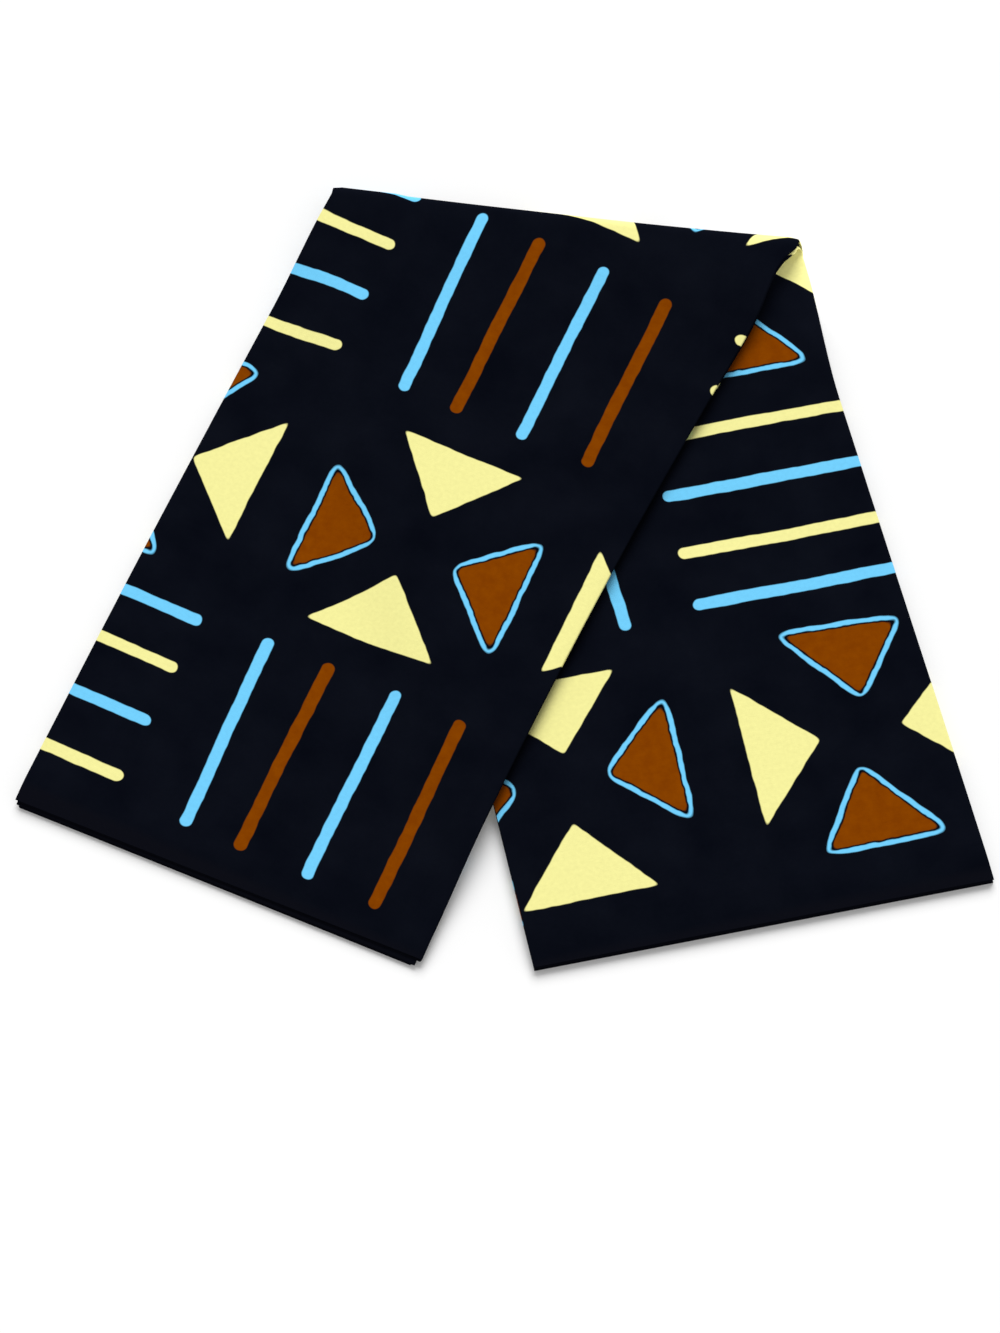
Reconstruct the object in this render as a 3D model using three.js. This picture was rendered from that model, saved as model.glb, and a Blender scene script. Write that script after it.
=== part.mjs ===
// A length of printed cotton cloth, lying folded on a flat surface.
// The cloth is folded back and forth into a strip of six layers, and the strip is then turned over once
// on a slant, so that its two legs lie like an upside-down V. The left leg lies over the right one and
// steps down from it to the surface.
// Millimetres, +Z up, x to the right and y away from the feet of the legs. The cloth lies on z = 0.

import * as THREE from 'three';

// The cloth and its layers. Heights in the strip are taken as it lies in the right leg.
const layerCount = 6;
const clothThickness = 1;
const layerGap = 0.35;
const panelWidth = 303;
const layerPitch = clothThickness + layerGap;
const stackHeight = clothThickness + (layerCount - 1) * layerPitch;
const foldReach = (layerPitch + clothThickness) / 2;

// Corners of the strip in plan: the foot of each leg, and the outer edge of the slanting fold
const rightLeg = {
  footLeft: new THREE.Vector2(20.7, -304.2),
  footRight: new THREE.Vector2(324.5, -239),
  bowLeft: 3,
  bowRight: 0,
};
const leftLeg = {
  footLeft: new THREE.Vector2(-322.2, -176.9),
  footRight: new THREE.Vector2(-50.8, -299.5),
  bowLeft: -2.5,
  bowRight: -9,
};
const slantFoldLeft = new THREE.Vector2(-118.8, 305.8);
const slantFoldRight = new THREE.Vector2(207.1, 259.2);

// How far the slanting fold stays open inside, at its tight left end and its loose right end
const openingLeft = 2;
const openingRight = 10;
const openingGrowth = 3;
const liftLength = 90;
const cornerFlattening = 0.3;
const cornerReach = 10;

// Where the left leg leaves the edge of the right leg, and where it has come down to the surface
const ledgeTop = 8;
const ledgeFoot = 62;

// The folds don't lie exactly on each other. Plus is to the right.
const rightFoldShift = [-6.7, -3.4, 0];
const leftFoldShift = [1, 0.5];

// The four lower layers of the left leg show past the two upper ones at its foot
const footStep = 5;
const footStepLength = 0.14;

// How finely the cloth is divided
const columnsAcross = 12;
const edgeColumn = 10;
const foldSegments = 3;
const rightLegRows = 5;
const bendRows = 6;
const leftLegRows = 14;

// 0 below start and 1 above end, with a soft change between them
function ease(value, start, end) {
  return THREE.MathUtils.smoothstep(value, start, end);
}

const foldDirection = slantFoldRight.clone().sub(slantFoldLeft).normalize();
const foldOutward = new THREE.Vector2(-foldDirection.y, foldDirection.x);

function opening(share) {
  return THREE.MathUtils.lerp(openingLeft, openingRight, Math.max(share, 0) ** openingGrowth);
}

// The line about which the layers turn, set in from the outer edge of the slanting fold
function bendLine(share) {
  const setIn = stackHeight + opening(share) / 2;
  return slantFoldLeft.clone().lerp(slantFoldRight, share).addScaledVector(foldOutward, -setIn);
}

// A point of a leg in plan: share runs across it from left to right, along from its foot to the bend
function legPoint(leg, share, along) {
  const point = leg.footLeft.clone().lerp(leg.footRight, share).lerp(bendLine(share), along);
  point.x += THREE.MathUtils.lerp(leg.bowLeft, leg.bowRight, share) * Math.sin(Math.PI * along);
  return point;
}

// How far a point in plan lies to the left of the right leg's left edge
const hiddenEdge = bendLine(0).sub(rightLeg.footLeft).normalize();
function beyondRightLeg(point) {
  return point.clone().sub(rightLeg.footLeft).cross(hiddenEdge) * -1;
}

// Height of the left leg's underside: on the right leg, lifted near the open bend, then on the surface
function leftLegUnderside(point, share, along) {
  const resting = 1 - ease(beyondRightLeg(point), ledgeTop, ledgeFoot);
  const fromBend = (1 - along) * leftLeg.footRight.distanceTo(slantFoldRight);
  const lift = (opening(share) - layerGap) * (1 - ease(fromBend, 0, liftLength));
  return (stackHeight + layerGap) * resting + lift;
}

// The layers of the left leg that show past its top layers at the foot
function stepAtFoot(height, along) {
  const belowTop = ease(height, clothThickness / 2 + layerPitch, clothThickness / 2 + 2 * layerPitch);
  return footStep * belowTop * (1 - ease(along, 0, footStepLength));
}

// Turns a place in the strip into a place in space
function place(across, height, row) {
  const share = across / panelWidth;
  if (row.part === 'right leg') {
    const plan = legPoint(rightLeg, share, row.along);
    return new THREE.Vector3(plan.x, plan.y, height);
  }
  if (row.part === 'bend') {
    const centre = stackHeight + opening(share) / 2;
    const fromEnd = Math.min(across, panelWidth - across);
    const radius = centre - height;
    const flattening = cornerFlattening * Math.max(1 - fromEnd / cornerReach, 0);
    const reach = radius * Math.sin(row.turn) * (1 - flattening);
    const plan = bendLine(share).addScaledVector(foldOutward, reach);
    return new THREE.Vector3(plan.x, plan.y, centre - radius * Math.cos(row.turn));
  }
  const plan = legPoint(leftLeg, share, row.along);
  const underside = leftLegUnderside(plan, share, row.along);
  const down = leftLeg.footRight.clone().sub(slantFoldRight).normalize();
  plan.addScaledVector(down, stepAtFoot(height, row.along));
  return new THREE.Vector3(plan.x, plan.y, underside + stackHeight - height);
}

// Outer edge of the fold after a panel: even panels end at the right, odd ones at the left
function foldEdge(panel) {
  const onRight = panel % 2 === 0;
  const shift = (onRight ? rightFoldShift : leftFoldShift)[Math.floor(panel / 2)];
  return (onRight ? panelWidth : 0) + shift;
}

// The middle line of the cloth in a cut across the strip, from one free edge to the other
function backAndForth() {
  const line = [];
  for (let panel = 0; panel < layerCount; panel++) {
    const height = stackHeight - clothThickness / 2 - panel * layerPitch;
    const heading = panel % 2 === 0 ? 1 : -1;
    const start = panel === 0 ? 0 : foldEdge(panel - 1) + heading * foldReach;
    const end = panel === layerCount - 1 ? 0 : foldEdge(panel) - heading * foldReach;
    const inner = [];
    for (let column = 0; column <= columnsAcross - 2; column++) {
      inner.push(edgeColumn + (panelWidth - 2 * edgeColumn) * column / (columnsAcross - 2));
    }
    if (heading < 0) {
      inner.reverse();
    }
    for (const across of [start, ...inner, end]) {
      line.push({ across, height, outAcross: 0, outHeight: heading, heading });
    }
    if (panel === layerCount - 1) {
      break;
    }
    for (let step = 1; step < foldSegments; step++) {
      const turn = Math.PI * step / foldSegments;
      const outAcross = heading * Math.sin(turn);
      const rise = Math.cos(turn);
      line.push({
        across: end + outAcross * layerPitch / 2,
        height: height - layerPitch / 2 * (1 - rise),
        outAcross: outAcross * heading,
        outHeight: rise * heading,
        heading,
      });
    }
  }
  return line;
}

// Places along the strip, from the foot of the right leg over the bend to the foot of the left leg
function rowsAlong() {
  const rows = [];
  for (let row = 0; row <= rightLegRows; row++) {
    rows.push({ part: 'right leg', along: row / rightLegRows });
  }
  for (let row = 1; row < bendRows; row++) {
    rows.push({ part: 'bend', turn: Math.PI * row / bendRows });
  }
  for (let row = 0; row <= leftLegRows; row++) {
    rows.push({ part: 'left leg', along: 1 - row / leftLegRows });
  }
  return rows;
}

// One closed solid: two faces of cloth, its two selvedges and its two free edges
function clothGeometry() {
  const line = backAndForth();
  const rows = rowsAlong();
  const positions = [];
  for (const row of rows) {
    for (const side of [1, -1]) {
      for (const point of line) {
        const half = side * clothThickness / 2;
        const across = point.across + point.outAcross * half;
        const height = point.height + point.outHeight * half;
        positions.push(...place(across, height, row).toArray());
      }
    }
  }

  // Of the cloth's two faces, side 0 is the upper one of the right leg's top layer
  const corner = (row, side, point) => (row * 2 + side) * line.length + point;
  const triangles = [];
  const addFace = ([a, b, c, d], turned = false) => {
    triangles.push(...(turned ? [a, b, d, b, c, d] : [a, b, c, a, c, d]));
  };
  const last = line.length - 1;
  const foot = rows.length - 1;
  for (let row = 0; row < foot; row++) {
    const next = row + 1;
    for (let point = 0; point < last; point++) {
      const ahead = point + 1;
      const turned = line[point].heading < 0;
      const upper = [corner(row, 0, point), corner(row, 0, ahead), corner(next, 0, ahead), corner(next, 0, point)];
      const under = [corner(row, 1, ahead), corner(row, 1, point), corner(next, 1, point), corner(next, 1, ahead)];
      addFace(upper, turned);
      addFace(under, !turned);
    }
    addFace([corner(row, 1, 0), corner(row, 0, 0), corner(next, 0, 0), corner(next, 1, 0)]);
    addFace([corner(row, 0, last), corner(row, 1, last), corner(next, 1, last), corner(next, 0, last)]);
  }
  for (let point = 0; point < last; point++) {
    const ahead = point + 1;
    addFace([corner(0, 0, ahead), corner(0, 0, point), corner(0, 1, point), corner(0, 1, ahead)]);
    addFace([corner(foot, 0, point), corner(foot, 0, ahead), corner(foot, 1, ahead), corner(foot, 1, point)]);
  }

  const geometry = new THREE.BufferGeometry();
  geometry.setAttribute('position', new THREE.Float32BufferAttribute(positions, 3));
  geometry.setIndex(triangles);
  geometry.computeVertexNormals();
  return geometry;
}

const cotton = new THREE.MeshStandardMaterial({ color: 0x0b0f1b, roughness: 0.85, metalness: 0 });

const cloth = new THREE.Mesh(clothGeometry(), cotton);
cloth.name = 'printed_cloth';

const group = new THREE.Group();
group.add(cloth);

export default group;
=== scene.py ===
import math

import bmesh
import bpy
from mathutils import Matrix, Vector, noise


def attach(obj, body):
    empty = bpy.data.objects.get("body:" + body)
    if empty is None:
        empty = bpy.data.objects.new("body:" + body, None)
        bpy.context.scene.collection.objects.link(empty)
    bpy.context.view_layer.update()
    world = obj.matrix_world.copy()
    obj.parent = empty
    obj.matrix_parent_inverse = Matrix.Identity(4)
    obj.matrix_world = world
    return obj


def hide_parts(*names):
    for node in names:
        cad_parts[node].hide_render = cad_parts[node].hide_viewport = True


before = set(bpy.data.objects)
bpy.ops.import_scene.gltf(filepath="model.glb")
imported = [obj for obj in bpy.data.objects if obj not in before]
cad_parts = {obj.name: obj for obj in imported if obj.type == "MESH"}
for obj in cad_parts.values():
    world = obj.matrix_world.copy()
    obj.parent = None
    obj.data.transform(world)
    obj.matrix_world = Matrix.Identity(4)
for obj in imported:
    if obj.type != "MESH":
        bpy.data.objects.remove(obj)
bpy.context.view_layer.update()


# The printed cloth
# One length of cotton cut from the bolt, with a selvedge along each side and a cut edge at each end. It is
# folded back and forth into a strip of six layers, and the strip is turned over once on a slant, so that
# its two legs lie like an upside-down V.

# "Across" runs over the strip from its left edge, and "height" up through its layers as they lie in the
# right leg. The print shifts by a start, and by a lean, a rise and a twist over the leg.

cloth_length = 1.829
cloth_width = 1.143
layer_count = 6
solid_thickness = 0.001
layer_pitch = 0.00135
panel_width = 0.303
stack_height = solid_thickness + (layer_count - 1) * layer_pitch
fold_reach = (layer_pitch + solid_thickness) / 2

right_leg = {
    "foot_left": Vector((0.0207, -0.3042)),
    "foot_right": Vector((0.3245, -0.2390)),
    "bow_left": 0.003,
    "bow_right": 0.0,
    "print_right": (-0.0005, 0.0236, -0.0217, 0.039),
    "print_up": (-0.0060, 0.0155, 0.041, -0.053),
}
left_leg = {
    "foot_left": Vector((-0.3222, -0.1769)),
    "foot_right": Vector((-0.0508, -0.2995)),
    "bow_left": -0.0025,
    "bow_right": -0.009,
    "print_right": (0.0091, -0.0316, -0.0261, 0.085),
    "print_up": (0.0039, -0.0344, -0.0125, 0.004),
}
slant_fold_left = Vector((-0.1188, 0.3058))
slant_fold_right = Vector((0.2071, 0.2592))

# The slanting fold: how far it stays open inside, its rounded corners, and the pucker by its tight left end
opening_left = 0.002
opening_right = 0.010
opening_growth = 3
lift_length = 0.090
corner_flattening = 0.32
corner_reach = 0.005
pucker = 0.0014
pucker_start = 0.042
pucker_end = 0.050

# Where the left leg leaves the edge of the right leg, and where it has come down to the floor
ledge_top = 0.008
ledge_foot = 0.062

# The feet: the lower layers' steps at the left, middle and right of the left leg's foot, and how flat the
# cloth is pressed at both feet
foot_reach = 0.0029
foot_steps = (0.0020, 0.0029, 0.0042)
foot_step_length = 0.14
foot_press = 0.28
foot_press_length = 0.016

# How far each end of a panel lies inside the strip's edge, on the right leg and at the left leg's foot.
# The list runs from one free edge of the cloth over its five folds to the other free edge.
set_in = [(0.0, 0.0035), (0.0, 0.0083), (0.0006, 0.0030), (0.0012, 0.0052), (0.0008, 0.0015),
          (0.0, 0.0020), (0.0005, 0.0)]

# The loose right end of the slanting fold: the strip spreads there, and the left leg is tucked in below it
tip_spread = Vector((0.0055, 0.0035))
tip_spread_growth = 6
tip_spread_length = 0.12
tuck = 0.0054
tuck_length = 0.075

fold_direction = (slant_fold_right - slant_fold_left).normalized()
fold_outward = Vector((-fold_direction.y, fold_direction.x))
down_left_leg = (left_leg["foot_right"] - slant_fold_right).normalized()


def ease(value, start, end):
    """0 below start and 1 above end, with a soft change between them."""
    share = min(max((value - start) / (end - start), 0), 1)
    return share * share * (3 - 2 * share)


def opening(share):
    """How far the slanting fold stays open inside."""
    return opening_left + (opening_right - opening_left) * max(share, 0) ** opening_growth


def bend_line(share):
    """The line about which the layers turn over."""
    outer = slant_fold_left.lerp(slant_fold_right, share)
    return outer - fold_outward * (stack_height + opening(share) / 2)


def spread(share, turned):
    """How much wider the strip lies at the loose end of the slanting fold, less so as it turns over."""
    return tip_spread * max(share, 0) ** tip_spread_growth * (0.5 + 0.5 * math.cos(math.pi * turned))


def leg_length(leg):
    """The length of a leg's right edge."""
    return (leg["foot_right"] - slant_fold_right).length


def leg_point(leg, share, along):
    """A point of a leg in plan, along from its foot to the bend."""
    foot = leg["foot_left"].lerp(leg["foot_right"], share)
    point = foot.lerp(bend_line(share), along)
    bow = leg["bow_left"] + (leg["bow_right"] - leg["bow_left"]) * share
    point += Vector((bow * math.sin(math.pi * along), 0))
    if leg is right_leg:
        point += spread(share, 0) * ease((1 - along) * leg_length(leg), tip_spread_length, 0)
    return point


hidden_edge = (bend_line(0) - right_leg["foot_left"]).normalized()


def beyond_right_leg(point):
    """How far a point lies to the left of the right leg's left edge."""
    offset = point - right_leg["foot_left"]
    return offset.y * hidden_edge.x - offset.x * hidden_edge.y


def left_leg_underside(point, share, along):
    """On the right leg, lifted near the bend, then on the ground."""
    layer_gap = layer_pitch - solid_thickness
    resting = 1 - ease(beyond_right_leg(point), ledge_top, ledge_foot)
    from_bend = (1 - along) * leg_length(left_leg)
    lift = (opening(share) - layer_gap) * (1 - ease(from_bend, 0, lift_length))
    return (stack_height + layer_gap) * resting + lift, resting


# Soft unevenness of the cloth
# Long low swells lift the layers a little, more so the upper ones, and creases are placed one by one
# where the photo shows them: start and end in plan, reach to each side, and height.

swell_length = 0.16
swell_height = 0.0011
right_leg_seed = 3.1
left_leg_seed = 8.4
crease_ends = 0.35
settled_from = 0.93
right_leg_creases = [
    {"start": Vector((0.070, -0.010)), "end": Vector((0.190, 0.008)), "reach": 0.006, "height": 0.0009},
    {"start": Vector((0.102, 0.030)), "end": Vector((0.250, 0.058)), "reach": 0.008, "height": -0.0006},
    {"start": Vector((0.120, 0.062)), "end": Vector((0.200, 0.082)), "reach": 0.005, "height": 0.0006},
    {"start": Vector((0.018, -0.185)), "end": Vector((0.075, -0.172)), "reach": 0.008, "height": 0.0007},
    {"start": Vector((0.184, 0.216)), "end": Vector((0.222, 0.236)), "reach": 0.006, "height": 0.0010},
]
left_leg_creases = [
    {"start": Vector((-0.060, -0.150)), "end": Vector((0.110, 0.180)), "reach": 0.030, "height": 0.0008},
    {"start": Vector((-0.190, -0.150)), "end": Vector((-0.080, -0.180)), "reach": 0.014, "height": 0.0005},
    {"start": Vector((-0.110, 0.250)), "end": Vector((-0.140, 0.090)), "reach": 0.018, "height": 0.0006},
]


def crease_height(point, creases):
    """Height of the soft ridges and troughs at a point in plan."""
    total = 0
    for crease in creases:
        run = crease["end"] - crease["start"]
        share = min(max((point - crease["start"]).dot(run) / run.length_squared, 0), 1)
        apart = (point - crease["start"].lerp(crease["end"], share)).length / crease["reach"]
        along_crease = crease_ends + (1 - crease_ends) * math.sin(math.pi * share)
        total += crease["height"] * math.exp(-apart * apart) * along_crease
    return total


def swell(point, level, creases, seed):
    """How much a layer rises at a point in plan. Level is its place in the stack, from 0 to 1."""
    wave = 0.5 + 0.5 * noise.noise(Vector((point.x / swell_length, point.y / swell_length, seed)))
    return level * (swell_height * wave + crease_height(point, creases))


def foot_step(share):
    """How far the lower layers show at the left leg's foot: a parabola through the three steps."""
    left, middle, right = foot_steps
    slope = 4 * middle - 3 * left - right
    curve = 2 * (left + right - 2 * middle)
    return left + slope * share + curve * share * share


def in_space(across, height, row):
    """Turns a place in the strip into a place in space."""
    share = across / panel_width
    along = row["along"]
    level = min(max(height / stack_height, 0), 1)
    leg = left_leg if row["part"] == "left leg" else right_leg
    length = leg_length(leg)
    press = 1 - foot_press * (1 - ease(along * length, 0, foot_press_length))
    settled = 1 - ease(along, settled_from, 1)
    if row["part"] == "right leg":
        plan = leg_point(right_leg, share, along)
        rise = swell(plan, level, right_leg_creases, right_leg_seed) * settled
        return Vector((plan.x, plan.y, (height + rise) * press))
    if row["part"] == "bend":
        centre = stack_height + opening(share) / 2
        radius = centre - height
        into_corner = min(max(1 - min(across, panel_width - across) / corner_reach, 0), 1)
        flattening = corner_flattening * (1 - math.sqrt(1 - into_corner * into_corner))
        bulge = pucker * (1 - ease(across, pucker_start, pucker_end))
        reach = (radius * (1 - flattening) + bulge) * math.sin(row["turn"])
        plan = bend_line(share) + fold_outward * reach + spread(share, row["turn"] / math.pi)
        return Vector((plan.x, plan.y, centre - radius * math.cos(row["turn"])))
    plan = leg_point(left_leg, share, along)
    underside, resting = left_leg_underside(plan, share, along)
    rise = resting * swell(plan, 1, right_leg_creases, right_leg_seed) * settled
    rise += swell(plan, 1 - level, left_leg_creases, left_leg_seed) * settled
    below_top = ease(height, solid_thickness / 2 + layer_pitch, solid_thickness / 2 + 2 * layer_pitch)
    reach = foot_reach * (1 - share) + foot_step(share) * below_top
    plan += down_left_leg * reach * (1 - ease(along, 0, foot_step_length))
    from_bend = math.sqrt(min((1 - along) * length / tuck_length, 1))
    plan.x -= tuck * max(share, 0) ** tip_spread_growth * math.sin(math.pi * from_bend) ** 2
    return Vector((plan.x, plan.y, underside + (stack_height - height + rise) * press))


# The folded cloth's mesh
# The sheet's middle line in a cut across the strip is carried along the strip row by row. Both faces
# stand off it by half the cloth's thickness, and the map holds each point's place on the flat cloth.

thickness = 0.0008
columns_a_panel = 34
even_columns = 0.6
fold_segments = 8
right_leg_rows = 56
bend_rows = 16
left_leg_rows = 68
sharp_angle = math.radians(60)

# Small drift of the folds and layers, in rows or waves across the strip
edge_waver = 0.0004
edge_wave_rows = 26
layer_waver = 0.00018
layer_wave_rows = 32.5
layer_waves_across = 14
seed_spacing = 5.7
fold_edge_seed = 1.3
fold_edge_focus = 8

# How the print runs on through the folds: how far across the right leg it comes square to the foot, how
# much further on each fold of the hidden panels lies, and how much the slanting fold and its loose end take up
square_from_share = 0.25
hidden_slack = (0.0, 0.008, 0.024, 0.012, 0.0)
take_up = 0.0045
take_up_length = 0.032
tip_take_up = 0.005
tip_take_up_length = 0.10


def fold_edge(panel):
    """Outer edge of the fold after a panel: even panels end at the right, odd ones at the left."""
    return panel_width if panel % 2 == 0 else 0


def panel_ends(panel):
    """Where a panel starts and ends across the strip."""
    start = 0 if panel == 0 else fold_edge(panel - 1)
    end = 0 if panel == layer_count - 1 else fold_edge(panel)
    return start, end


def cut_across():
    """The cloth's middle line in a cut across the strip, from one free edge to the other."""
    line = []
    for panel in range(layer_count):
        height = stack_height - solid_thickness / 2 - panel * layer_pitch
        heading = 1 if panel % 2 == 0 else -1
        start, end = panel_ends(panel)
        if panel > 0:
            start += heading * fold_reach
        if panel < layer_count - 1:
            end -= heading * fold_reach
        for column in range(columns_a_panel + 1):
            to_edges = 0.5 - 0.5 * math.cos(math.pi * column / columns_a_panel)
            share = even_columns * column / columns_a_panel + (1 - even_columns) * to_edges
            across = start + (end - start) * share
            line.append({"panel": panel, "through": column / columns_a_panel, "across": across,
                         "height": height, "out": (0, heading)})
        if panel == layer_count - 1:
            break
        for step in range(1, fold_segments):
            turn = math.pi * step / fold_segments
            line.append({
                "panel": panel if step < fold_segments / 2 else panel + 1,
                "through": 1 if step < fold_segments / 2 else 0,
                "across": end + heading * math.sin(turn) * layer_pitch / 2,
                "height": height - layer_pitch / 2 * (1 - math.cos(turn)),
                "out": (math.sin(turn), heading * math.cos(turn)),
            })
    return line


def rows_along():
    """Places along the strip, from the foot of the right leg over the bend to the foot of the left leg."""
    rows = [{"part": "right leg", "along": n / right_leg_rows} for n in range(right_leg_rows + 1)]
    rows += [{"part": "bend", "along": 1, "turn": math.pi * n / bend_rows} for n in range(1, bend_rows)]
    rows += [{"part": "left leg", "along": 1 - n / left_leg_rows} for n in range(left_leg_rows + 1)]
    return rows


def on_leg(leg, share, along):
    """A leg's point on its print: to the right from the leg's left edge, and up from its foot."""
    to_right = (leg["foot_right"] - leg["foot_left"]).normalized()
    up = Vector((-to_right.y, to_right.x))
    point = leg_point(leg, share, along) - leg["foot_left"]
    edge = bend_line(0) - leg["foot_left"]
    edge_lean = edge.dot(to_right) / edge.dot(up)
    if leg is right_leg:
        edge_lean *= 1 - ease(share, 0, square_from_share)
    right, high = point.dot(to_right) - edge_lean * point.dot(up), point.dot(up)
    shifts = [start + lean * right + rise * high + twist * right * high
              for start, lean, rise, twist in (leg["print_right"], leg["print_up"])]
    from_bend = (1 - along) * leg_length(leg)
    near_bend = take_up * (1 - ease(from_bend, 0, take_up_length))
    if leg is left_leg:
        return right - shifts[0], high - shifts[1] - near_bend
    near_tip = tip_take_up * max(share, 0) ** tip_spread_growth
    near_tip *= 1 - ease(from_bend, 0, tip_take_up_length)
    return right - shifts[0], high - shifts[1] + near_bend + near_tip


def flat_place(share, row):
    """The distance from the strip's left edge and from the right leg's selvedge, on the flat cloth."""
    if row["part"] == "right leg":
        return on_leg(right_leg, share, row["along"])
    if row["part"] == "left leg":
        right, up = on_leg(left_leg, share, row["along"])
        return right, cloth_width - up
    right_before, up_before = on_leg(right_leg, share, 1)
    right_after, up_after = on_leg(left_leg, share, 1)
    turned = row["turn"] / math.pi
    right = right_before + (right_after - right_before) * turned * (4 - turned) / 3
    return right, up_before + (cloth_width - up_after - up_before) * turned


def row_of_cloth(line, row):
    """Each station's place on the flat cloth, for one row."""
    def from_left(across):
        return flat_place(across / panel_width, row)[0]

    first = from_left(fold_edge(0))
    last = cloth_length - from_left(fold_edge(layer_count - 2))
    inner = (last - first) / (layer_count - 2)
    knots = [0] + [first + inner * n + slack for n, slack in enumerate(hidden_slack)] + [cloth_length]
    places = []
    for station in line:
        panel = station["panel"]
        start, end = (from_left(across) for across in panel_ends(panel))
        share = min(max((from_left(station["across"]) - start) / (end - start), 0), 1)
        across_cloth = knots[panel] + (knots[panel + 1] - knots[panel]) * share
        up_cloth = flat_place(station["across"] / panel_width, row)[1]
        places.append((across_cloth / cloth_length, up_cloth / cloth_width))
    return places


def waver(station, row, row_number):
    """Small drift of the folds and of the layers' heights along the strip."""
    near_edge = abs(station["across"] / panel_width * 2 - 1) ** fold_edge_focus
    end = station["panel"] + round(station["through"])
    on_right, at_foot = set_in[end]
    turned = 1 - row["along"] if row["part"] == "left leg" else 0
    inward = on_right + (at_foot - on_right) * turned
    edge_wave = noise.noise(Vector((row_number / edge_wave_rows, seed_spacing * end, fold_edge_seed)))
    inward += edge_waver * edge_wave
    side = -inward if station["across"] > panel_width / 2 else inward
    across = station["across"] * layer_waves_across
    up = noise.noise(Vector((row_number / layer_wave_rows, across, seed_spacing * station["panel"])))
    return side * near_edge, layer_waver * up


def build_cloth():
    """One closed sheet: two faces of cloth, its two selvedges and its two cut ends."""
    line = cut_across()
    rows = rows_along()
    mesh = bmesh.new()
    flat_map = mesh.loops.layers.uv.new("OFBake")
    grid = []
    for number, row in enumerate(rows):
        flat = row_of_cloth(line, row)
        faces = []
        for side in (1, -1):
            verts = []
            for station, place_on_cloth in zip(line, flat):
                drift, rise = waver(station, row, number)
                half = side * thickness / 2
                across = station["across"] + drift + station["out"][0] * half
                height = station["height"] + rise + station["out"][1] * half
                vert = mesh.verts.new(in_space(across, height, row))
                verts.append((vert, place_on_cloth))
            faces.append(verts)
        grid.append(faces)

    def add_face(*corners):
        face = mesh.faces.new([vert for vert, flat in corners])
        face.smooth = True
        for loop, (vert, flat) in zip(face.loops, corners):
            loop[flat_map].uv = flat

    last = len(line) - 1
    for (upper, under), (next_upper, next_under) in zip(grid, grid[1:]):
        for n in range(last):
            add_face(upper[n], upper[n + 1], next_upper[n + 1], next_upper[n])
            add_face(under[n + 1], under[n], next_under[n], next_under[n + 1])
        add_face(under[0], upper[0], next_upper[0], next_under[0])
        add_face(upper[last], under[last], next_under[last], next_upper[last])
    for (upper, under), turned in ((grid[0], False), (grid[-1], True)):
        for n in range(last):
            corners = (upper[n + 1], upper[n], under[n], under[n + 1])
            add_face(*(reversed(corners) if turned else corners))

    data = bpy.data.meshes.new("printed_cloth_sheet")
    mesh.to_mesh(data)
    mesh.free()
    data.set_sharp_from_angle(angle=sharp_angle)
    sheet = bpy.data.objects.new("printed_cloth_sheet", data)
    bpy.context.scene.collection.objects.link(sheet)
    return sheet


cloth = build_cloth()


# The print's shapes
# Each shape is a node group that gives the distance to its edge in millimetres, less than 0 inside it.
# Places are on the flat cloth, so the print follows every fold.

def new_group(name, inputs, outputs):
    """An empty node group with named sockets."""
    group = bpy.data.node_groups.new(name, "ShaderNodeTree")
    for kind, label in inputs:
        group.interface.new_socket(name=label, in_out="INPUT", socket_type=f"NodeSocket{kind}")
    for kind, label in outputs:
        group.interface.new_socket(name=label, in_out="OUTPUT", socket_type=f"NodeSocket{kind}")
    return group, group.nodes.new("NodeGroupInput"), group.nodes.new("NodeGroupOutput")


def put(tree, socket, value):
    """Links a socket or sets it, whichever the value is."""
    if isinstance(value, bpy.types.NodeSocket):
        tree.links.new(value, socket)
    else:
        socket.default_value = value


def math_node(tree, operation, *values):
    """A Math node's output."""
    node = tree.nodes.new("ShaderNodeMath")
    node.operation = operation
    for socket, value in zip(node.inputs, values):
        put(tree, socket, value)
    return node.outputs["Value"]


def vector_node(tree, operation, first, second=None, scale=None):
    """A Vector Math node's output: a value for dot products and lengths, otherwise a vector."""
    node = tree.nodes.new("ShaderNodeVectorMath")
    node.operation = operation
    put(tree, node.inputs[0], first)
    if second is not None:
        put(tree, node.inputs[1], second)
    if scale is not None:
        put(tree, node.inputs["Scale"], scale)
    return node.outputs["Value" if operation in ("DOT_PRODUCT", "LENGTH") else "Vector"]


def bar_group():
    """A straight bar with round ends."""
    inputs = (("Vector", "Place"), ("Vector", "Start"), ("Vector", "Direction"), ("Float", "Length"),
              ("Float", "Half width"))
    group, given, result = new_group("Printed bar", inputs, (("Float", "Distance"),))
    given = given.outputs
    offset = vector_node(group, "SUBTRACT", given["Place"], given["Start"])
    along = vector_node(group, "DOT_PRODUCT", offset, given["Direction"])
    along = math_node(group, "MAXIMUM", math_node(group, "MINIMUM", along, given["Length"]), 0.0)
    nearest = vector_node(group, "SCALE", given["Direction"], scale=along)
    apart = vector_node(group, "LENGTH", vector_node(group, "SUBTRACT", offset, nearest))
    put(group, result.inputs["Distance"], math_node(group, "SUBTRACT", apart, given["Half width"]))
    return group


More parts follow.
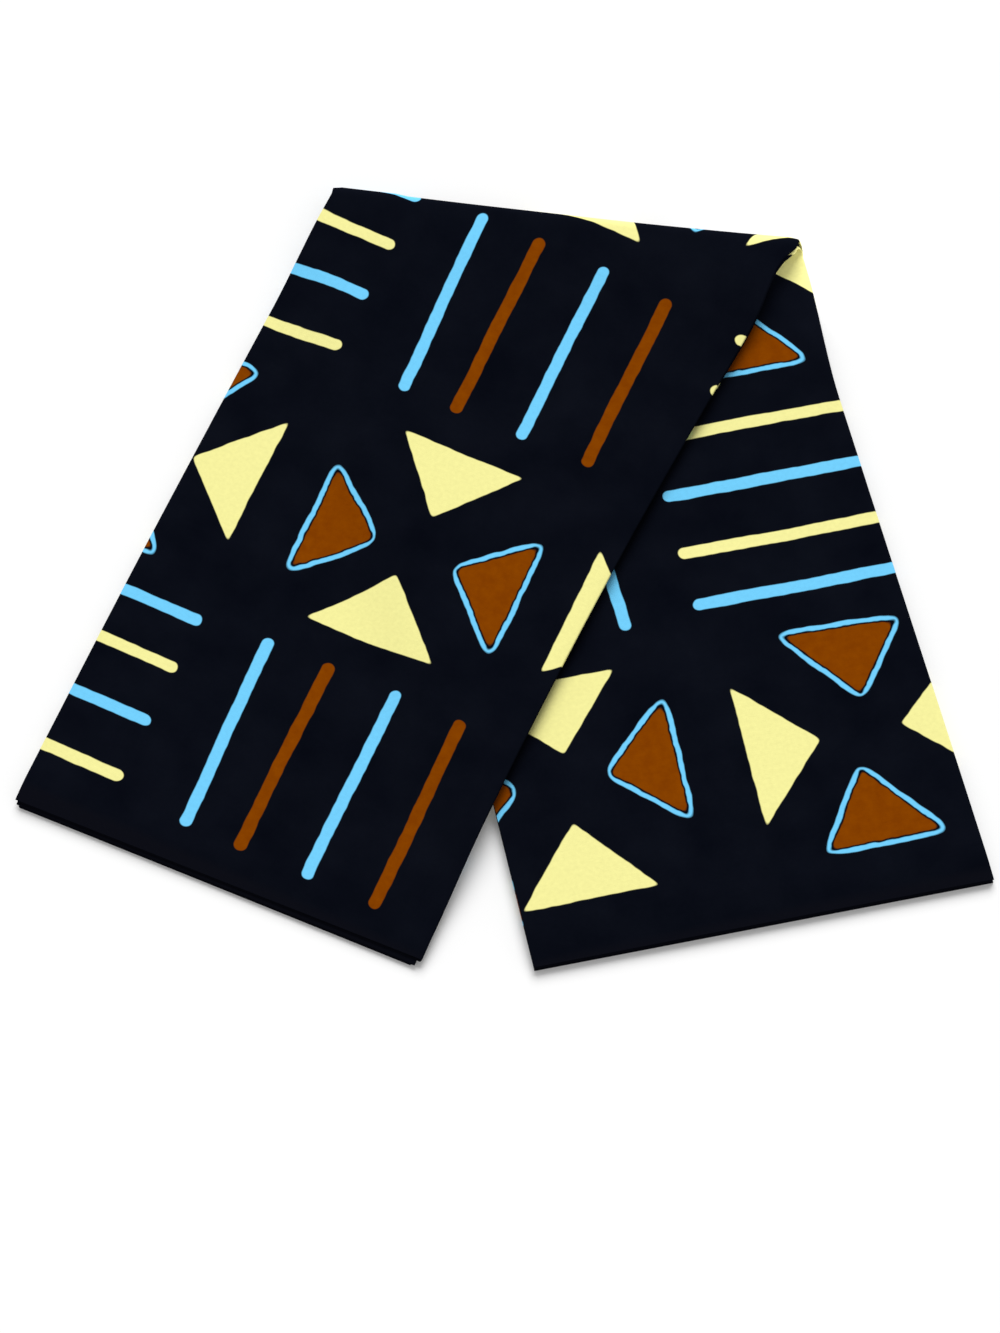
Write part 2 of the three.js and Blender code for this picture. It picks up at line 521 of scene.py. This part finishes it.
def triangle_group():
    """A triangle inside three edges, each given by its outward direction and reach."""
    inputs = [("Vector", "Place"), ("Float", "Rounding"), ("Float", "Inner rounding")]
    for edge in (1, 2, 3):
        inputs += [("Vector", f"Outward {edge}"), ("Float", f"Reach {edge}")]
    outputs = (("Float", "Distance"), ("Float", "Inner distance"))
    group, given, result = new_group("Printed triangle", inputs, outputs)
    given = given.outputs
    beyond = []
    for edge in (1, 2, 3):
        ahead = vector_node(group, "DOT_PRODUCT", given["Place"], given[f"Outward {edge}"])
        beyond.append(math_node(group, "SUBTRACT", ahead, given[f"Reach {edge}"]))
    for output, rounding in (("Distance", "Rounding"), ("Inner distance", "Inner rounding")):
        distance = math_node(group, "SMOOTH_MAX", beyond[0], beyond[1], given[rounding])
        distance = math_node(group, "SMOOTH_MAX", distance, beyond[2], given[rounding])
        put(group, result.inputs[output], distance)
    return group


# The print's chart
# Two columns of motifs repeat over the cloth. In each, four triangles point to one spot, and four bars
# lie above them. Millimetres from the column's spot, to the right and up on the flat cloth, charted on a grid
# of 5 mm.

repeat_across = 402.65
repeat_up = 367.25
first_spot = (46.0, 124.0)
column_spacing = 202.25
cell_start = (-101.0, -100.0)
odd_column_drift = (6.0, 3.0)

# Corners counter-clockwise
triangles = [
    {"column": 0, "ink": "yellow", "corners": ((0, -25), (-45, -80), (45, -80))},
    {"column": 0, "ink": "yellow", "corners": ((5, 25), (50, 80), (-45, 80))},
    {"column": 0, "ink": "outlined", "corners": ((25, 5), (80, -45), (80, 60))},
    {"column": 0, "ink": "outlined", "corners": ((-25, 5), (-80, 65), (-80, -45))},
    {"column": 1, "ink": "outlined", "corners": ((-10, -20), (-50, -85), (40, -85))},
    {"column": 1, "ink": "outlined", "corners": ((5, 20), (50, 80), (-45, 85))},
    {"column": 1, "ink": "yellow", "corners": ((-30, 0), (-80, 50), (-80, -55))},
    {"column": 1, "ink": "yellow", "corners": ((25, 0), (80, -55), (80, 50))},
]
upright_bars = [
    {"ink": "blue", "bottom": (65, 110), "top": (60, 255)},
    {"ink": "brown", "bottom": (20, 110), "top": (20, 255)},
    {"ink": "blue", "bottom": (-30, 110), "top": (-30, 255)},
    {"ink": "brown", "bottom": (-80, 115), "top": (-80, 255)},
]
level_bars = [
    {"ink": "blue", "left": (-85, 115), "right": (60, 115), "parity": 0},
    {"ink": "yellow", "left": (-85, 155), "right": (60, 155), "parity": 0},
    {"ink": "blue", "left": (-85, 200), "right": (60, 200), "parity": 0},
    {"ink": "yellow", "left": (-85, 245), "right": (60, 245), "parity": 0},
    {"ink": "yellow", "left": (-85, 115), "right": (55, 115), "parity": 1},
    {"ink": "yellow", "left": (-85, 160), "right": (55, 160), "parity": 1},
    {"ink": "yellow", "left": (-85, 205), "right": (55, 205), "parity": 1},
    {"ink": "yellow", "left": (-85, 250), "right": (55, 250), "parity": 1},
]
upright_half_width = 4.1
level_half_width = 4.35
outline_width = 3.3
outline_gap = 1.3
yellow_rounding = 5.0
outlined_rounding = 22.0
inner_rounding = 9.0
far_away = 1000.0


def chart_distances(tree, place, parity, groups):
    """The least distance to any shape of each ink, in a cell of the repeat."""
    nearest = {}

    def add(ink, distance):
        known = nearest.get(ink)
        nearest[ink] = distance if known is None else math_node(tree, "MINIMUM", known, distance)

    def add_bar(start, end, half_width):
        node = tree.nodes.new("ShaderNodeGroup")
        node.node_tree = groups["bar"]
        run = Vector(end) - Vector(start)
        put(tree, node.inputs["Place"], place)
        node.inputs["Start"].default_value = (*start, 0)
        node.inputs["Direction"].default_value = (*run.normalized(), 0)
        node.inputs["Length"].default_value = run.length
        node.inputs["Half width"].default_value = half_width
        return node.outputs["Distance"]

    for triangle in triangles:
        node = tree.nodes.new("ShaderNodeGroup")
        node.node_tree = groups["triangle"]
        put(tree, node.inputs["Place"], place)
        outlined = triangle["ink"] == "outlined"
        node.inputs["Rounding"].default_value = outlined_rounding if outlined else yellow_rounding
        node.inputs["Inner rounding"].default_value = inner_rounding
        spot = Vector((column_spacing * triangle["column"], 0))
        corners = [Vector(corner) + spot for corner in triangle["corners"]]
        for edge in range(3):
            run = corners[(edge + 1) % 3] - corners[edge]
            outward = Vector((run.y, -run.x)).normalized()
            node.inputs[f"Outward {edge + 1}"].default_value = (*outward, 0)
            node.inputs[f"Reach {edge + 1}"].default_value = outward.dot(corners[edge])
        add(triangle["ink"], node.outputs["Distance"])
        if outlined:
            add("fill", node.outputs["Inner distance"])
    for bar in upright_bars:
        add(bar["ink"], add_bar(bar["bottom"], bar["top"], upright_half_width))
    for bar in level_bars:
        left, right = ((x + column_spacing, y) for x, y in (bar["left"], bar["right"]))
        wrong = math_node(tree, "SUBTRACT", 1.0, parity) if bar["parity"] else parity
        distance = add_bar(left, right, level_half_width)
        add(bar["ink"], math_node(tree, "MULTIPLY_ADD", wrong, far_away, distance))
    return nearest


# The printed cotton
# Near-black navy with pale yellow, sky blue and brown inks, a plain weave that shows close to, a faint
# sheen, and a plain border along each selvedge, a little lighter at its edge: partly the selvedge's own tone,
# partly painted light where the edge curves down at each foot. Lengths are in millimetres on the flat
# cloth, and waves are waves a millimetre.

navy_dark = (0.0022, 0.0029, 0.0060, 1)
navy_light = (0.0042, 0.0053, 0.0096, 1)
yellow = (0.88, 0.84, 0.33, 1)
blue = (0.165, 0.60, 0.93, 1)
brown = (0.232, 0.052, 0.0003, 1)
brown_deep = (0.205, 0.043, 0.0003, 1)
brown_bleed = 0.3
ink_edge = 0.35
plain_border = 22.0
margin = 9.0
margin_edge = 3.0
# Painted light, in part: the margin's lighter colour stands partly for light caught where the edge curves down
# at each foot
selvedge_tone_and_painted_light = (0.0042, 0.0046, 0.0080, 1)

# The printing wavers a little by hand
drift_waves = 0.008
drift_reach = 3.0
wobble_waves = 0.09
wobble_reach = 1.5
outline_waves = 0.055
outline_detail = 2.0
outline_wobble = 2.4
width_waves = 0.16
width_wobble = 1.4

# Clouds in the navy, patches in the brown, and the dye's fine mottling
cloud_waves = 0.022
cloud_detail = 5.0
cloud_range = (0.28, 0.72)
patch_waves = 0.12
patch_detail = 4.0
patch_range = (0.35, 0.65)
mottle_waves = 0.35
mottle_detail = 3.0
mottle_range = (0.3, 0.7)
mottle_depth = (0.965, 1.03)

# Threads of the weave, the thicker ones among them, and the roughness that both give
thread_pitch = 0.42
thread_height = 0.03
slub_waves = (0.12, 1.6, 1)
slub_height = 0.08
bump_strength = 0.6
bump_distance = 0.001
worn_range = (0.1, 0.4)
roughness = (0.76, 0.88)
sheen = 0.003
sheen_roughness = 0.4


def noise_node(tree, place, waves, detail=1.0):
    """Noise over the flat cloth."""
    node = tree.nodes.new("ShaderNodeTexNoise")
    put(tree, node.inputs["Vector"], place)
    node.inputs["Scale"].default_value = waves
    node.inputs["Detail"].default_value = detail
    return node


def mix_colours(tree, share, first, second):
    """A Mix node's colour output."""
    node = tree.nodes.new("ShaderNodeMix")
    node.data_type = "RGBA"
    put(tree, node.inputs["Factor"], share)
    put(tree, node.inputs[6], first)
    put(tree, node.inputs[7], second)
    return node.outputs[2]


def map_range(tree, value, from_range, to_range=(0, 1)):
    """A value carried from one range to another and held within it."""
    node = tree.nodes.new("ShaderNodeMapRange")
    put(tree, node.inputs["Value"], value)
    node.inputs["From Min"].default_value, node.inputs["From Max"].default_value = from_range
    node.inputs["To Min"].default_value, node.inputs["To Max"].default_value = to_range
    return node.outputs["Result"]


def inside(tree, distance, edge=0.0, softness=ink_edge):
    """1 where a distance is below edge, 0 above it."""
    return map_range(tree, distance, (edge - softness, edge + softness), (1, 0))


def one_axis(tree, place, axis):
    """A place's X or Y."""
    node = tree.nodes.new("ShaderNodeSeparateXYZ")
    put(tree, node.inputs[0], place)
    return node.outputs[axis]


def hand_printed(tree, place):
    """The place on the chart that is printed at a place on the cloth."""
    printed = place
    for waves, reach in ((drift_waves, drift_reach), (wobble_waves, wobble_reach)):
        wave = noise_node(tree, place, waves).outputs["Color"]
        wave = vector_node(tree, "SUBTRACT", wave, (0.5, 0.5, 0.5))
        printed = vector_node(tree, "ADD", printed, vector_node(tree, "SCALE", wave, scale=reach))
    return printed


def cell_of_repeat(tree, printed):
    """The place in its cell of the repeat, and 1 in every other cell across the cloth."""
    repeat = (repeat_across, repeat_up)
    origin = (first_spot[0] + cell_start[0], first_spot[1] + cell_start[1], 0)
    cells = vector_node(tree, "SUBTRACT", printed, origin)
    cells = vector_node(tree, "DIVIDE", cells, (*repeat, 1))
    number = vector_node(tree, "FLOOR", cells)
    in_cell = vector_node(tree, "MULTIPLY", vector_node(tree, "SUBTRACT", cells, number), (*repeat, 0))
    in_cell = vector_node(tree, "ADD", in_cell, (*cell_start, 0))
    parity = math_node(tree, "PINGPONG", one_axis(tree, number, "X"), 1.0)
    in_second = math_node(tree, "GREATER_THAN", one_axis(tree, in_cell, "X"), column_spacing / 2)
    drifts = math_node(tree, "MULTIPLY", in_second, parity)
    shift = vector_node(tree, "SCALE", (*odd_column_drift, 0), scale=drifts)
    return vector_node(tree, "SUBTRACT", in_cell, shift), parity


def selvedge_distance(tree, place):
    """The distance to the nearer selvedge."""
    up = one_axis(tree, place, "Y")
    return math_node(tree, "MINIMUM", up, math_node(tree, "SUBTRACT", cloth_width * 1000, up))


def ground_colour(tree, place, from_selvedge):
    """The dyed ground, cloudy, and lighter at the selvedges: partly their own tone, partly painted light where
    the edge curves down at each foot.
    """
    clouds = noise_node(tree, place, cloud_waves, cloud_detail).outputs["Fac"]
    ground = mix_colours(tree, map_range(tree, clouds, cloud_range), navy_dark, navy_light)
    # Lighter within the margin at each selvedge: partly the selvedge's tone, partly painted light on the
    # curved-down foot edge
    return mix_colours(tree, inside(tree, from_selvedge, margin, margin_edge), ground, selvedge_tone_and_painted_light)


def inked_colour(tree, place, ground, nearest):
    """The inks over the ground. In an outlined triangle, a fine line of navy parts outline and fill."""
    patches = noise_node(tree, place, patch_waves, patch_detail).outputs["Fac"]
    brown_ink = mix_colours(tree, map_range(tree, patches, patch_range), brown_deep, brown)
    colour = mix_colours(tree, inside(tree, nearest["brown"], brown_bleed), ground, brown_ink)
    colour = mix_colours(tree, inside(tree, nearest["blue"]), colour, blue)
    colour = mix_colours(tree, inside(tree, nearest["yellow"]), colour, yellow)

    drawn = noise_node(tree, place, outline_waves, outline_detail).outputs["Fac"]
    drawn = math_node(tree, "MULTIPLY", math_node(tree, "SUBTRACT", drawn, 0.5), outline_wobble)
    thinned = noise_node(tree, place, width_waves).outputs["Fac"]
    thinned = math_node(tree, "SUBTRACT", thinned, 0.5)
    thinned = math_node(tree, "MULTIPLY_ADD", thinned, width_wobble, drawn)
    outlined = math_node(tree, "ADD", nearest["outlined"], drawn)
    fill = math_node(tree, "ADD", nearest["fill"], thinned)
    colour = mix_colours(tree, inside(tree, outlined), colour, blue)
    colour = mix_colours(tree, inside(tree, fill, -outline_width), colour, navy_dark)
    return mix_colours(tree, inside(tree, fill, -outline_width - outline_gap), colour, brown_ink)


def weave_height(tree, place, slubs):
    """The relief of a plain weave with some thicker threads."""
    turn = math.pi / thread_pitch
    over, under = (math_node(tree, "SINE", math_node(tree, "MULTIPLY", one_axis(tree, place, axis), turn))
                   for axis in "XY")
    threads = math_node(tree, "MULTIPLY", math_node(tree, "MULTIPLY", over, under), thread_height)
    return math_node(tree, "ADD", threads, math_node(tree, "MULTIPLY", slubs, slub_height))


def cotton_material():
    """The printed cotton, laid out on the flat cloth by the sheet's map."""
    material = bpy.data.materials.new("printed_cotton")
    material.use_nodes = True
    tree = material.node_tree
    shader = tree.nodes["Principled BSDF"]
    flat = tree.nodes.new("ShaderNodeUVMap")
    flat.uv_map = "OFBake"
    size = (cloth_length * 1000, cloth_width * 1000, 1)
    place = vector_node(tree, "MULTIPLY", flat.outputs["UV"], size)

    # The print stops short of the selvedges
    groups = {"bar": bar_group(), "triangle": triangle_group()}
    in_cell, parity = cell_of_repeat(tree, hand_printed(tree, place))
    from_selvedge = selvedge_distance(tree, place)
    beyond_print = math_node(tree, "SUBTRACT", plain_border, from_selvedge)
    nearest = {ink: math_node(tree, "MAXIMUM", distance, beyond_print)
               for ink, distance in chart_distances(tree, in_cell, parity, groups).items()}

    mottle = noise_node(tree, place, mottle_waves, mottle_detail).outputs["Fac"]
    colour = inked_colour(tree, place, ground_colour(tree, place, from_selvedge), nearest)
    colour = vector_node(tree, "SCALE", colour, scale=map_range(tree, mottle, mottle_range, mottle_depth))
    put(tree, shader.inputs["Base Color"], colour)

    slubs = noise_node(tree, vector_node(tree, "MULTIPLY", place, slub_waves), 1.0).outputs["Fac"]
    bump = tree.nodes.new("ShaderNodeBump")
    bump.inputs["Strength"].default_value = bump_strength
    bump.inputs["Distance"].default_value = bump_distance
    put(tree, bump.inputs["Height"], weave_height(tree, place, slubs))
    put(tree, shader.inputs["Normal"], bump.outputs["Normal"])

    worn = math_node(tree, "MULTIPLY", slubs, mottle)
    put(tree, shader.inputs["Roughness"], map_range(tree, worn, worn_range, roughness))
    shader.inputs["Specular IOR Level"].default_value = 0.0
    shader.inputs["Sheen Weight"].default_value = sheen
    shader.inputs["Sheen Roughness"].default_value = sheen_roughness
    return material


cloth.data.materials.append(cotton_material())
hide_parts("printed_cloth")
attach(cloth, "root")


# The floor
# One wide pale sheet of paper under the cloth. It glows a little, so that it comes out clean white.

floor_half_width = 30
paper_colour = (0.865, 0.865, 0.865, 1)
paper_glow = 0.09
paper_roughness = 0.9

floor_data = bpy.data.meshes.new("floor")
floor_mesh = bmesh.new()
bmesh.ops.create_grid(floor_mesh, x_segments=1, y_segments=1, size=floor_half_width)
floor_mesh.to_mesh(floor_data)
floor_mesh.free()
floor = bpy.data.objects.new("floor", floor_data)
bpy.context.scene.collection.objects.link(floor)
paper = bpy.data.materials.new("pale_paper")
paper.use_nodes = True
paper_shader = paper.node_tree.nodes["Principled BSDF"]
paper_shader.inputs["Base Color"].default_value = paper_colour
paper_shader.inputs["Roughness"].default_value = paper_roughness
paper_shader.inputs["Specular IOR Level"].default_value = 0.0
paper_shader.inputs["Emission Color"].default_value = (1, 1, 1, 1)
paper_shader.inputs["Emission Strength"].default_value = paper_glow
floor_data.materials.append(paper)


# Light and camera
# Even white light from all round, a soft lamp from behind and above, a narrow one that reaches in under the
# loose end of the slanting fold, and a long lens from the front.

sky_strength = 0.43
soft_lamp_from = Vector((0.05, 1.7, 1.6))
soft_lamp_energy = 2.95
soft_lamp_width = math.radians(44)
loose_end = Vector((0.200, 0.240, 0.006))
fold_lamp_offset = Vector((0.59, -0.28, 0.46))
fold_lamp_energy = 16
fold_lamp_cone = math.radians(5.5)
fold_lamp_radius = 0.03
lens = 162
sensor_width = 36
camera_target = Vector((-0.0014, -0.0748, 0))
camera_elevation = math.radians(60.5)
camera_distance = 4.042

world = bpy.data.worlds.new("studio")
bpy.context.scene.world = world
world.use_nodes = True
sky = world.node_tree.nodes["Background"]
sky.inputs["Color"].default_value = (1, 1, 1, 1)
sky.inputs["Strength"].default_value = sky_strength


def add_lamp(name, kind, energy, place, target):
    """A lamp that points from its place to a target."""
    data = bpy.data.lights.new(name, kind)
    data.energy = energy
    lamp = bpy.data.objects.new(name, data)
    lamp.location = place
    lamp.rotation_euler = (target - place).to_track_quat("-Z", "Y").to_euler()
    bpy.context.scene.collection.objects.link(lamp)
    return data


soft_lamp = add_lamp("soft_lamp", "SUN", soft_lamp_energy, soft_lamp_from, Vector())
soft_lamp.angle = soft_lamp_width
fold_lamp = add_lamp("fold_lamp", "SPOT", fold_lamp_energy, loose_end + fold_lamp_offset, loose_end)
fold_lamp.spot_size = fold_lamp_cone
fold_lamp.spot_blend = 1
fold_lamp.shadow_soft_size = fold_lamp_radius

camera_data = bpy.data.cameras.new("camera")
camera_data.lens = lens
camera_data.sensor_width = sensor_width
camera = bpy.data.objects.new("camera", camera_data)
to_camera = Vector((0, -math.cos(camera_elevation), math.sin(camera_elevation)))
camera.location = camera_target + camera_distance * to_camera
camera.rotation_euler = (math.pi / 2 - camera_elevation, 0, 0)
bpy.context.scene.collection.objects.link(camera)
bpy.context.scene.camera = camera
bpy.context.scene.view_settings.view_transform = "Standard"
